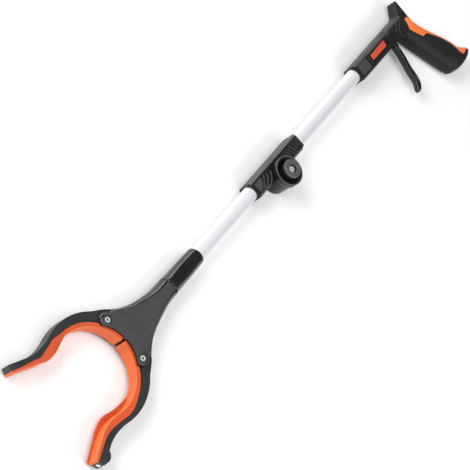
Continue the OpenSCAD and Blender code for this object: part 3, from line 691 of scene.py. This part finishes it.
def grip_point(station, angle, grow=0.0):
    """A point on the grip's skin: angle 0 is the rear edge and 180 the front edge."""
    (fx, fy), (rx, ry), half, _ = station
    mx, my = (fx + rx) / 2, (fy + ry) / 2
    depth = math.dist((fx, fy), (rx, ry)) / 2
    ux, uy = (rx - mx) / depth, (ry - my) / depth
    c, s = math.cos(angle), math.sin(angle)
    power = 2 / 2.5
    along = math.copysign(abs(c) ** power, c) * (depth + grow)
    return (mx + ux * along, my + uy * along, math.copysign(abs(s) ** power, s) * (half + min(grow, 0)))


def strap_angle(station):
    """The skin angle at which the strap's edge lies, given its reach from the rear edge."""
    depth = math.dist(station[0], station[1]) / 2
    c = max(min((depth - station[3]) / depth, 1), -1)
    return math.acos(math.copysign(abs(c) ** 1.25, c))


def refined(stations, steps):
    """Stations with more added between each pair."""
    out = []
    for a, b in zip(stations, stations[1:]):
        for i in range(steps):
            t = i / steps
            mix = lambda p, q: tuple(u + (v - u) * t for u, v in zip(p, q))
            out.append((mix(a[0], b[0]), mix(a[1], b[1]), a[2] + (b[2] - a[2]) * t, a[3] + (b[3] - a[3]) * t))
    return out + [stations[-1]]


GRIP_FINE = refined(GRIP + BUTT, 3)
sleeve_rings, strap_rings = [], []
for station in GRIP_FINE:
    edge = strap_angle(station)
    sweep_front = [edge + (2 * math.pi - 2 * edge) * i / 30 for i in range(31)]
    sweep_rear = [-edge + 2 * edge * i / 18 for i in range(19)]
    sleeve_rings.append([grip_point(station, a) for a in sweep_front]
                        + [grip_point(station, a, -3.4) for a in reversed(sweep_front)])
    if station[3] < 1:
        continue
    strap_rings.append([grip_point(station, a, 0.25) for a in sweep_rear]
                       + [grip_point(station, a, -2.4) for a in reversed(sweep_rear)])
piece("grip_skin", "handle_arm", "grip_rubber", [loft(sleeve_rings)], rounding=0.4, limit=50,
      replaces=["grip_sleeve"])
piece("back_strap", "handle_arm", "orange_strap", [loft(strap_rings)], rounding=0.4, limit=50,
      replaces=["grip_backstrap"])
core = [[grip_point(s, 2 * math.pi * k / 32, -2.6) for k in range(32)] for s in GRIP_FINE]
piece("grip_core", "handle_arm", "grip_rubber", [loft(core)], limit=50)

# ---- trigger ----

FINGER = [(276.5, -6, 4.4, 4.4), (273.2, -12, 4.1, 4.4), (271.9, -18, 3.6, 4.5), (271, -23, 3.5, 4.5),
          (270.1, -28, 3.4, 4.5), (268.8, -33, 3.3, 4.5), (267.2, -38, 3.4, 4.5), (265.6, -43, 3.5, 4.5),
          (264.4, -48, 3.7, 4.5), (263.6, -53, 3.9, 4.5), (262.8, -58, 4.0, 4.5), (261.4, -63, 4.0, 4.5),
          (258.9, -67, 3.8, 4.45), (255.8, -70.2, 3.4, 4.3), (253.6, -71.8, 2.7, 3.8), (252, -72.7, 1.5, 2.6)]


def finger_ring(i):
    x, y, depth, half = FINGER[i]
    xa, ya = FINGER[max(i - 1, 0)][:2]
    xb, yb = FINGER[min(i + 1, len(FINGER) - 1)][:2]
    length = math.hypot(xb - xa, yb - ya)
    nx, ny = (yb - ya) / length, -(xb - xa) / length
    groove = 0.0 if i < 2 or i > 12 else 0.55
    section = [(1, 0), (1, 0.45), (0.93, 0.75), (0.72, 0.94), (0.45, 1), (0.3, 1), (0.18, 1 - groove / 3),
               (-0.18, 1 - groove / 3), (-0.3, 1), (-0.45, 1), (-0.72, 0.94), (-0.93, 0.75),
               (-1, 0.45), (-1, 0)]
    loop = section + [(u, -v) for u, v in reversed(section[1:-1])]
    return [(x + nx * u * depth, y + ny * u * depth, v * half) for u, v in loop]


piece("trigger", "trigger_body", "gloss_plastic",
      [loft([finger_ring(i) for i in range(len(FINGER))])], replaces=["trigger_lever"], limit=60)

# ---- cable at the hinge ----

SPAN = [(-45, 0, 0), (-36, -1.3, -1.2), (-27, -4.6, -4.2), (-18, -9.8, -7.6), (-10, -14, -10),
        (0, -15.7, -10.3), (10, -14, -10), (18, -9.8, -7.6), (27, -4.6, -4.2), (36, -1.3, -1.2), (45, 0, 0)]
span = piece("cable_at_hinge", "handle_arm", "steel", [cord_along(SPAN, 0.75)], replaces=["pull_cable_span"])
span.parent = None
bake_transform(span)

# ---- CAD nodes that stay as they are ----

for names, finish in (
        (("handle_screws", "head_screws", "trigger_pin", "trigger_spring", "upper_tube_pin",
          "lower_tube_pin", "hinge_washer", "lock_gear", "lock_spring", "crosshead",
          "crosshead_pins", "cable_ferrule", "return_spring", "cable_nipple", "pull_cable_rear",
          "pull_cable_front"), "steel"),
        (("magnet",), "bright_steel"), (("friction_ring",), "seal_rubber")):
    for name in names:
        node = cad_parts[name]
        node.data.materials.clear()
        node.data.materials.append(FINISH[finish])

# ---- floor ----


def add_floor():
    mesh = bpy.data.meshes.new("floor")
    mesh.from_pydata([(-4, -4, 0), (4, -4, 0), (4, 4, 0), (-4, 4, 0)], [], [(0, 1, 2, 3)])
    floor = bpy.data.objects.new("floor", mesh)
    bpy.context.scene.collection.objects.link(floor)
    mesh.materials.append(finish_of("floor", (0.9, 0.9, 0.9), (0.92, 0.92, 0.92), 0.9, bump=0.0,
                                    specular=0.1))


add_floor()
